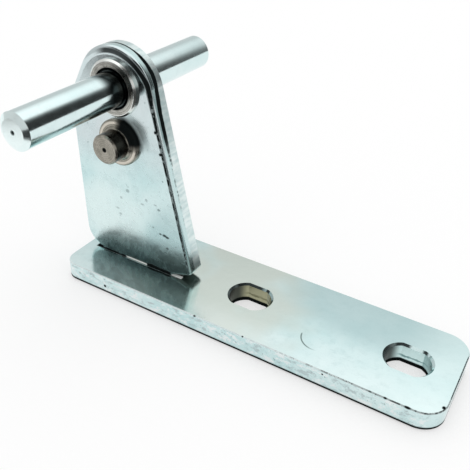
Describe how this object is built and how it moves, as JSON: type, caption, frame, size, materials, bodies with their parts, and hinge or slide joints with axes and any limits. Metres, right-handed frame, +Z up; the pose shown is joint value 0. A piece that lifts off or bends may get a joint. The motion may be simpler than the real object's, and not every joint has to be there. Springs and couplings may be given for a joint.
{
  "type": "refrigerator middle hinge",
  "caption": "Zinc-plated hinge: slotted base plate, upright tapered arm tenoned into it, and a pivot pin through the arm that serves the door in front and the door behind.",
  "frame": {"origin": "midway between the two screw slots, on the underside of the base plate", "axes": "+X along the base plate, from the arm's end to the slotted end; +Y along the pivot pin, from its front end (the collar and stud side) to its back end; +Z up from the base plate to the pin"},
  "size_m": [0.0984, 0.062, 0.0592],
  "materials": {
    "base_zinc": "bright zinc plating, slightly mottled",
    "arm_zinc": "bright zinc plating, slightly mottled",
    "pin_steel": "turned and zinc plated, bright",
    "collar_steel": "turned, warm plated tint",
    "stud_steel": "turned, warm plated tint"
  },
  "bodies": {
    "root": {"base_plate": "base_zinc", "hinge_arm": "arm_zinc", "hinge_pin": "pin_steel", "pin_collar": "collar_steel", "stop_stud": "stud_steel"}
  },
  "joints": []
}
